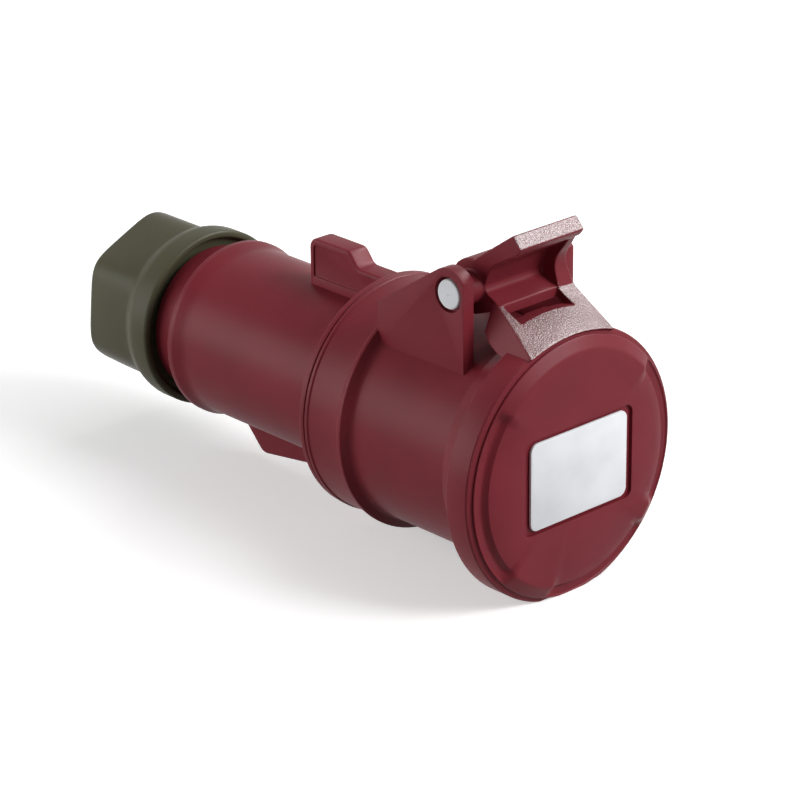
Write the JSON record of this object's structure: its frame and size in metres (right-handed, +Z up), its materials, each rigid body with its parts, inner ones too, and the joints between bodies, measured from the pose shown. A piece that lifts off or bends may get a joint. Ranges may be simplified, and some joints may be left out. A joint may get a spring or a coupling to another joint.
{
  "type": "industrial power connector",
  "caption": "Portable industrial power coupling socket with a sprung hinged lid over a ring of sockets, a round red housing and a hexagonal cable gland nut.",
  "frame": {"origin": "centre of the part's box, on the surface that it stands on", "axes": "+X along the connector's axis, towards the lid; +Z up, through the hinge; +Y across, along the hinge pin"},
  "size_m": [0.194, 0.0826, 0.1095],
  "materials": {
    "red_plastic": "fine-grained moulding",
    "dark_plastic": "satin moulding",
    "white_plastic": "smooth",
    "insert_plastic": "matt",
    "black_rubber": "matt",
    "brass": "turned",
    "steel": "bright"
  },
  "bodies": {
    "housing": {"front_housing": "red_plastic", "rear_housing": "red_plastic", "housing_seal": "black_rubber", "gland_nut": "dark_plastic", "cable_clamp": "insert_plastic", "cable_seal": "black_rubber", "contact_carrier": "insert_plastic", "hinge_pin": "white_plastic", "lid_spring": "steel", "contact_earth": "brass", "contact_spring_earth": "steel", "terminal_screw_earth": "steel", "contact_phase_1": "brass", "contact_spring_phase_1": "steel", "terminal_screw_phase_1": "steel", "contact_phase_2": "brass", "contact_spring_phase_2": "steel", "terminal_screw_phase_2": "steel", "contact_phase_3": "brass", "contact_spring_phase_3": "steel", "terminal_screw_phase_3": "steel"},
    "lid": {"lid": "red_plastic", "lid_gasket": "black_rubber", "label_plate": "white_plastic"}
  },
  "joints": [
    {"name": "lid_hinge", "type": "hinge", "parent": "housing", "child": "lid", "pos_m": [0.0661, 0, 0.09], "axis": [0, -1, 0], "range_deg": [0, 130], "stiffness_Nm_per_rad": 0.08, "springref_deg": -114.59}
  ]
}
